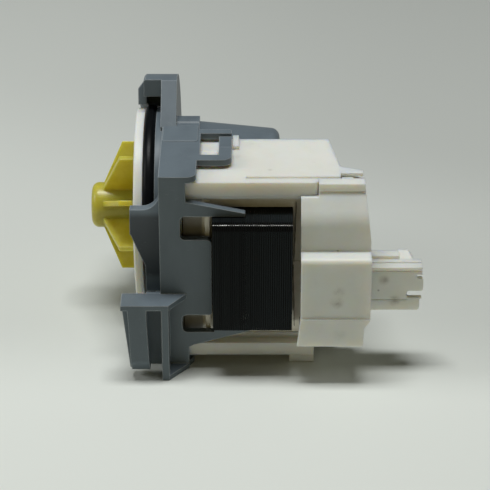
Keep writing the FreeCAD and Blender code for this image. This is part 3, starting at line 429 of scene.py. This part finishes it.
def ringed(rings, closedEnds=True):  # skin over rings of points, each ring as long as the next
    skin = bmesh.new()
    rows = [[skin.verts.new(point) for point in ring] for ring in rings]
    count = len(rings[0])
    for first, second in zip(rows, rows[1:]):
        for i in range(count):
            j = (i + 1) % count
            skin.faces.new((first[i], first[j], second[j], second[i]))
    if closedEnds:
        skin.faces.new(rows[0][::-1])
        skin.faces.new(rows[-1])
    bmesh.ops.recalc_face_normals(skin, faces=skin.faces)
    return skin


def joined(skin, reach):  # the skin with points closer than reach made one
    bmesh.ops.remove_doubles(skin, verts=skin.verts, dist=reach)
    bmesh.ops.recalc_face_normals(skin, faces=skin.faces)
    return skin


def piece(name, skins, material, smoothBelow):  # one object from one or more bmesh skins or meshes
    mesh = bpy.data.meshes.new(name)
    whole = bmesh.new()
    for skin in skins:
        if isinstance(skin, bmesh.types.BMesh):
            part = bpy.data.meshes.new("part")
            skin.to_mesh(part)
            skin.free()
            skin = part
        whole.from_mesh(skin)
        bpy.data.meshes.remove(skin)
    whole.to_mesh(mesh)
    whole.free()
    mesh.shade_smooth()
    mesh.set_sharp_from_angle(angle=math.radians(smoothBelow))
    made = bpy.data.objects.new(name, mesh)
    bpy.context.scene.collection.objects.link(made)
    dress(made, material)
    return made


def rowTree(name, closedPath):  # repeats a shape, or a wire round a path, along a row with small seeded shifts
    tree = bpy.data.node_groups.new(name, "GeometryNodeTree")
    sockets = {}
    wanted = [("Shape", "NodeSocketGeometry"), ("Count", "NodeSocketInt"), ("Step", "NodeSocketVector"),
              ("Shift", "NodeSocketVector"), ("Seed", "NodeSocketInt"), ("Wire Radius", "NodeSocketFloat"),
              ("Wire Sides", "NodeSocketInt"), ("Finish", "NodeSocketMaterial")]
    for label, kind in wanted:
        sockets[label] = tree.interface.new_socket(name=label, in_out="INPUT", socket_type=kind).identifier
    tree.interface.new_socket(name="Shape", in_out="OUTPUT", socket_type="NodeSocketGeometry")
    entry = tree.nodes.new("NodeGroupInput")
    leave = tree.nodes.new("NodeGroupOutput")

    def put(kind, links, **settings):
        node = tree.nodes.new(kind)
        for key, value in settings.items():
            setattr(node, key, value)
        for key, source in links.items():
            tree.links.new(source, node.inputs[key])
        return node

    shape = entry.outputs["Shape"]
    if closedPath:
        path = put("GeometryNodeMeshToCurve", {"Mesh": shape})
        section = put("GeometryNodeCurvePrimitiveCircle", {
            "Radius": entry.outputs["Wire Radius"], "Resolution": entry.outputs["Wire Sides"]})
        shape = put("GeometryNodeCurveToMesh", {
            "Curve": path.outputs["Curve"], "Profile Curve": section.outputs["Curve"]}).outputs["Mesh"]
    line = put("GeometryNodeMeshLine", {"Count": entry.outputs["Count"], "Offset": entry.outputs["Step"]})
    spread = put("GeometryNodeInstanceOnPoints", {"Points": line.outputs["Mesh"], "Instance": shape})
    least = put("ShaderNodeVectorMath", {0: entry.outputs["Shift"]}, operation="SCALE")
    least.inputs["Scale"].default_value = -1.0
    chance = put("FunctionNodeRandomValue", {
        "Min": least.outputs[0], "Max": entry.outputs["Shift"], "Seed": entry.outputs["Seed"]},
        data_type="FLOAT_VECTOR")
    moved = put("GeometryNodeTranslateInstances", {
        "Instances": spread.outputs["Instances"], "Translation": chance.outputs["Value"]})
    real = put("GeometryNodeRealizeInstances", {"Geometry": moved.outputs["Instances"]})
    coated = put("GeometryNodeSetMaterial", {
        "Geometry": real.outputs["Geometry"], "Material": entry.outputs["Finish"]})
    tree.links.new(coated.outputs["Geometry"], leave.inputs["Shape"])
    return tree, sockets


def grown(tree, sockets, shape, values):  # the plain mesh that a tree makes of a shape
    seedMesh = bpy.data.meshes.new("seed")
    shape.to_mesh(seedMesh)
    shape.free()
    holder = bpy.data.objects.new("seed", seedMesh)
    bpy.context.scene.collection.objects.link(holder)
    modifier = holder.modifiers.new("grow", "NODES")
    modifier.node_group = tree
    for label, value in values.items():
        modifier[sockets[label]] = value
    result = bpy.data.meshes.new_from_object(holder.evaluated_get(bpy.context.evaluated_depsgraph_get()))
    bpy.data.objects.remove(holder)
    bpy.data.meshes.remove(seedMesh)
    return result


# Core: loose sheets, each with broken edges, in one stack. Sizes in mm, angles in degrees.
coreStack = {
    "sheets": 36, "yokeFace": 50.0, "yokeInner": 38.7, "height": 17.5, "gap": 7.0,
    "corner": 0.5, "cornerSteps": 4, "pole": 20.0, "poleEnd": 74.0, "poleSteps": 12,
    "bore": 12.2, "wideBore": 13.4, "boreStep": 10.0, "upperSteps": (8, 8), "lowerSteps": (9, 6),
    "breakEdge": 0.07, "air": 0.02, "shift": (0.0, 0.035, 0.03), "seed": 11, "smoothBelow": 20.0}


def coreOutline():
    look = coreStack
    pole, end, step = look["pole"], look["poleEnd"], look["boreStep"]
    flank = math.degrees(math.asin(math.sqrt(pole ** 2 - look["height"] ** 2) / pole))
    near = math.degrees(math.acos(look["gap"] / look["bore"]))
    wide = math.degrees(math.acos(look["gap"] / look["wideBore"]))
    upper = [(-look["yokeInner"], look["gap"])] + arc(look["bore"], -near, step, look["upperSteps"][0])
    upper += arc(look["wideBore"], step, end, look["upperSteps"][1])
    upper += arc(pole, end, -flank, look["poleSteps"])
    lower = arc(pole, 180 + flank, 180 - end, look["poleSteps"])
    lower += arc(look["bore"], 180 - end, 180 + step, look["lowerSteps"][0])
    lower += arc(look["wideBore"], 180 + step, 180 + wide, look["lowerSteps"][1])
    lower.append((-look["yokeInner"], -look["gap"]))
    corners = []
    corner, steps = look["corner"], look["cornerSteps"]
    for cz, start in ((look["height"] - corner, 90), (corner - look["height"], 180)):
        for k in range(steps + 1):
            turn = math.radians(start + 90 * k / steps)
            corners.append((corner - look["yokeFace"] + corner * math.cos(turn), cz + corner * math.sin(turn)))
    return upper + corners + lower


def coreSheets():
    look = coreStack
    low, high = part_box("stator_core")
    pitch = (high[0] - low[0]) / look["sheets"]
    edge = look["breakEdge"] * mm
    thick = pitch - look["air"] * mm
    outline = [(y * mm, z * mm) for y, z in coreOutline()]
    inner = inset(outline, edge)
    sections = ((0, inner), (edge, outline), (thick - edge, outline), (thick, inner))
    rings = [[(x, y, z) for y, z in points] for x, points in sections]
    tree, sockets = rowTree("sheet_row", False)
    stack = grown(tree, sockets, ringed(rings), {
        "Count": look["sheets"], "Step": (pitch, 0.0, 0.0), "Shift": tuple(v * mm for v in look["shift"]),
        "Seed": look["seed"], "Finish": darkSteel})
    for vertex in stack.vertices:
        vertex.co.x += low[0]
    made = piece("core_sheets", [stack], darkSteel, look["smoothBelow"])
    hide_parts("stator_core")
    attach(made, "housing")


coreSheets()
print("core stacked")

# Windings: a solid coil with its outer wire turns laid over it. Lengths in mm, shares of the wire's width.
windingLook = {
    "wire": 0.42, "sides": 6, "corner": 4.0, "steps": 6,
    "hole": ((22.8, 5.7), (48.8, 18.8)), "holeCorner": 0.2,
    "bodyShare": 0.5, "pathShare": 0.62, "radiusShare": 0.52, "shift": 0.03, "seed": 4,
    "merge": 0.001, "smoothBelow": 40.0}


def wound(name, node, sign):
    look = windingLook
    low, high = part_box(node)
    wire = look["wire"] * mm
    outline = roundedRectangle((low[0], low[2]), (high[0], high[2]), look["corner"] * mm, look["steps"])
    body = inset(outline, wire * look["bodyShare"])
    hole = [(x * mm, sign * z * mm) for x, z in look["hole"]]
    holeLow = (hole[0][0], min(hole[0][1], hole[1][1]))
    holeHigh = (hole[1][0], max(hole[0][1], hole[1][1]))
    core = roundedRectangle(holeLow, holeHigh, look["holeCorner"] * mm, look["steps"])
    near, far = low[1] + wire * look["bodyShare"], high[1] - wire * look["bodyShare"]
    sections = ((near, core), (near, body), (far, body), (far, core), (near, core))
    rings = [[(x, y, z) for x, z in points] for y, points in sections]
    solid = joined(ringed(rings, False), look["merge"] * mm)
    path = bmesh.new()
    points = [path.verts.new((x, low[1] + wire, z)) for x, z in inset(outline, wire * look["pathShare"])]
    for first, second in zip(points, points[1:] + points[:1]):
        path.edges.new((first, second))
    tree, sockets = rowTree("turn_row", True)
    turns = grown(tree, sockets, path, {
        "Count": int((high[1] - low[1] - 2 * wire) / wire) + 1, "Step": (0.0, wire, 0.0),
        "Shift": (look["shift"] * mm,) * 3, "Seed": look["seed"],
        "Wire Radius": wire * look["radiusShare"], "Wire Sides": look["sides"], "Finish": copper})
    made = piece(name, [solid, turns], copper, look["smoothBelow"])
    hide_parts(node)
    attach(made, "housing")


wound("winding_turns_upper", "winding_upper", 1)
wound("winding_turns_lower", "winding_lower", -1)
print("windings laid")

# Tape over the windings: one lap line, slight wrinkles, edges drawn in. Lengths in mm.
tapeLook = {
    "corner": 4.4, "steps": 10, "run": 0.9, "rows": 26, "thickness": 0.38, "lap": 0.16, "lapAt": 0.18,
    "wrinkle": 0.10, "grain": 2.6, "along": 2.2, "fineGrain": 0.8, "fineAlong": 0.4, "fineShare": 0.35,
    "tuckShare": 0.4, "merge": 0.0005, "smoothBelow": 55.0}


def taped(name, node, seed):
    look = tapeLook
    low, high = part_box(node)
    wrinkle, lap, thickness = look["wrinkle"] * mm, look["lap"] * mm, look["thickness"] * mm
    outside = roundedRectangle((low[0] + wrinkle, low[2] + wrinkle), (high[0] - wrinkle, high[2] - wrinkle),
                               look["corner"] * mm, look["steps"])
    fine = []
    for (u0, v0), (u1, v1) in zip(outside, outside[1:] + outside[:1]):  # long sides cut to short runs
        parts = max(1, round(math.hypot(u1 - u0, v1 - v0) / (look["run"] * mm)))
        fine += [(u0 + (u1 - u0) * k / parts, v0 + (v1 - v0) * k / parts) for k in range(parts)]
    normals = [(Vector(a) - Vector(b)).normalized() for a, b in zip(fine, inset(fine, 1 * mm))]
    rings = []
    rows = look["rows"]
    for row in range(rows + 1):
        y = low[1] + (high[1] - low[1]) * row / rows
        ring = []
        for i, ((x, z), normal) in enumerate(zip(fine, normals)):
            lift = noise.noise(Vector((x, y * look["along"], z + seed)) / (look["grain"] * mm)) * wrinkle
            ripple = noise.noise(Vector((x, y * look["fineAlong"], z - seed)) / (look["fineGrain"] * mm))
            lift += ripple * wrinkle * look["fineShare"]
            if i / len(fine) > look["lapAt"]:
                lift -= lap
            if row in (0, rows):
                lift -= thickness * look["tuckShare"]
            ring.append((x + normal.x * lift, y, z + normal.y * lift))
        rings.append(ring)
    deep = thickness + lap
    for y in (high[1], low[1]):
        rings.append([(x - n.x * deep, y, z - n.y * deep) for (x, z), n in zip(fine, normals)])
    rings.append(rings[0])
    made = piece(name, [joined(ringed(rings, False), look["merge"] * mm)], wrapBrown, look["smoothBelow"])
    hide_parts(node)
    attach(made, "housing")


taped("tape_upper", "coil_wrap_upper", 3.0)
taped("tape_lower", "coil_wrap_lower", 8.0)
print("coils taped")

# Raised pad on the bracket's top flange, bare, with a broken edge. Sizes in mm.
flangePad = {
    "x": (8.7, 19.5), "y": (-19.7, -8.0), "z": 30.4, "sunk": 0.3, "rise": 0.22, "bevel": 0.16,
    "corner": 0.8, "steps": 5, "smoothBelow": 30.0}


def raisedPad():
    look = flangePad
    lows, highs = zip(look["x"], look["y"])
    foot = roundedRectangle(lows, highs, look["corner"], look["steps"])
    top = inset(foot, look["bevel"])
    sections = ((-look["sunk"], foot), (look["rise"] - look["bevel"], foot), (look["rise"], top))
    rings = [[(x * mm, y * mm, (look["z"] + z) * mm) for x, y in points] for z, points in sections]
    made = piece("flange_raised_pad", [ringed(rings)], bracketGray, look["smoothBelow"])
    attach(made, "housing")


raisedPad()

# Sloped web from the ledge's far edge down to the guard wall: a section of (y, z) along x, in mm.
ledgeWeb = {
    "x": (-0.6, 8.4), "smoothBelow": 20.0,
    "section": [(-44.7, -8.1), (-43.0, -8.7), (-35.6, -13.0), (-35.6, -14.0), (-43.0, -9.7), (-44.7, -9.1)]}


def guardWeb():
    look = ledgeWeb
    rings = [[(x * mm, y * mm, z * mm) for y, z in look["section"]] for x in look["x"]]
    made = piece("guard_ledge_web", [ringed(rings)], bracketGray, look["smoothBelow"])
    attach(made, "housing")


guardWeb()

# Varnished paper slips between the stack and the coil formers. Sizes in mm.
slipLook = {
    "thickness": 0.18, "near": -41.3, "far": -38.5, "rows": 30, "smoothBelow": 50.0,
    "ripple": 0.16, "rippleAcross": 3.0, "rippleAlong": 0.35, "frayed": 0.5, "frayAlong": 0.5, "fraySeed": 3.0,
    "places": {  # x, from z, to z, lean over the height
        "paper_slip_upper": (48.1, 1.0, 19.6, 0.5), "paper_slip_lower": (48.4, -20.4, -1.2, -0.4)}}


def paperSlip(name, x, low, high, lean):
    look = slipLook
    half = look["thickness"] / 2
    far = look["far"]
    rings = []
    for row in range(look["rows"] + 1):
        z = low + (high - low) * row / look["rows"]
        ripple = noise.noise(Vector((x * look["rippleAcross"], 0.0, z * look["rippleAlong"])))
        fray = noise.noise(Vector((z * look["frayAlong"], x, look["fraySeed"])))
        middle = x + look["ripple"] * ripple + lean * (z - low) / (high - low)
        near = look["near"] + look["frayed"] * fray
        ring = [(middle - half, near), (middle + half, near), (middle + half, far), (middle - half, far)]
        rings.append([(u * mm, v * mm, z * mm) for u, v in ring])
    made = piece(name, [ringed(rings)], slipBrown, look["smoothBelow"])
    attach(made, "housing")


for name, place in slipLook["places"].items():
    paperSlip(name, *place)
print("pad, web and paper slips in place")

# Stage: paper that bends up behind the object, with a painted shade that darkens it towards the back and sides
stageLook = {
    "floor": -33.0 * mm, "half": 3.0, "depth": 1.5, "rise": 1.6, "bend": 0.5, "bendSteps": 12,
    "near": colour(0.765, 0.793, 0.750), "middle": 0.84, "farLeft": 0.76, "farRight": 0.68,
    "middleFade": (-0.065, -0.01), "farFade": (0.04, 0.17), "sideFade": (-0.07, 0.11), "lean": 0.45,
    "tint": (0.25, 3.0), "tintShift": 0.02, "roughness": 0.75, "specular": 0.2}


def stagePaper():
    look = stageLook
    finish = Finish("paper_with_painted_falloff")
    x, y = finish.axes()[:2]
    tint = finish.grain(*look["tint"])
    back = y + look["tintShift"] * (tint - 0.5)
    # painted shade: the paper's colour darkened towards the back and to the sides, standing for light falling
    # off
    paintedFalloff = 1.0 - back.ramp(*look["middleFade"]) * (1.0 - look["middle"])
    side = x.ramp(*look["sideFade"], look["middle"] - look["farLeft"], look["middle"] - look["farRight"])
    paintedFalloff = paintedFalloff - (back + look["lean"] * x).ramp(*look["farFade"]) * side
    paper = finish.blend(paintedFalloff, colour(0.0, 0.0, 0.0), look["near"])
    return finish.close({
        "Base Color": paper, "Roughness": look["roughness"], "Specular IOR Level": look["specular"]})


def seamlessFloor():
    look = stageLook
    half, bend, floorHeight = look["half"], look["bend"], look["floor"]
    foot = look["depth"] - bend
    profile = [(-half, floorHeight), (foot, floorHeight)]
    for step in range(1, look["bendSteps"] + 1):
        turn = step / look["bendSteps"] * math.pi / 2
        profile.append((foot + bend * math.sin(turn), floorHeight + bend * (1 - math.cos(turn))))
    profile.append((look["depth"], floorHeight + look["rise"]))
    points = [(x, y, z) for y, z in profile for x in (-half, half)]
    faces = [(2 * i, 2 * i + 1, 2 * i + 3, 2 * i + 2) for i in range(len(profile) - 1)]
    mesh = bpy.data.meshes.new("seamless_floor")
    mesh.from_pydata(points, [], faces)
    mesh.shade_smooth()
    floor = bpy.data.objects.new("seamless_floor", mesh)
    bpy.context.scene.collection.objects.link(floor)
    floor.data.materials.append(stagePaper())


# Lights: three lamps and a faint room
lampLooks = [  # name, place, aim, (length, width), power, tint
    ("overhead", (0.0, 0.0, 0.95), (0.0, 0.0, 0.0), (0.55, 0.15), 7.3, (0.985, 1.0, 0.995)),
    ("left_window", (-0.80, -0.05, 0.50), (0.0, -0.02, 0.0), (0.35, 0.35), 2.2, (0.985, 1.0, 0.995)),
    ("room_fill", (0.0, -0.95, 0.25), (0.03, 0.0, 0.0), (0.6, 0.4), 0.50, (1.0, 0.82, 0.35))]
roomLook = {"tint": colour(0.97, 1.0, 0.98), "strength": 0.02}


def lamps():
    for name, place, aim, size, power, tint in lampLooks:
        light = bpy.data.lights.new(name, "AREA")
        light.shape = "RECTANGLE"
        light.size, light.size_y = size
        light.energy = power
        light.color = tint
        lamp = bpy.data.objects.new(name, light)
        lamp.location = place
        lamp.rotation_euler = (Vector(aim) - Vector(place)).to_track_quat("-Z", "Y").to_euler()
        bpy.context.scene.collection.objects.link(lamp)
    world = bpy.data.worlds.new("room")
    world.use_nodes = True
    backdrop = world.node_tree.nodes["Background"]
    backdrop.inputs["Color"].default_value = roomLook["tint"]
    backdrop.inputs["Strength"].default_value = roomLook["strength"]
    bpy.context.scene.world = world


# Camera: the photo's own view, tilted down about a target on the object
cameraLook = {
    "target": (33.6 * mm, -5.79 * mm, -11.37 * mm), "distance": 620 * mm, "tilt": 27.0,
    "sensor": 36.0, "focal": 1968 / 490}


def photoCamera():
    look = cameraLook
    lens = bpy.data.cameras.new("photo_view")
    lens.sensor_width = look["sensor"]
    lens.sensor_fit = "HORIZONTAL"
    lens.lens = look["sensor"] * look["focal"]
    eye = bpy.data.objects.new("photo_view", lens)
    tilt = math.radians(look["tilt"])
    eye.location = Vector(look["target"]) + look["distance"] * Vector((0, -math.cos(tilt), math.sin(tilt)))
    eye.rotation_euler = (math.pi / 2 - tilt, 0, 0)
    bpy.context.scene.collection.objects.link(eye)
    bpy.context.scene.camera = eye


seamlessFloor()
lamps()
photoCamera()
bpy.context.scene.view_settings.view_transform = "Standard"
print("stage, lights and camera set")
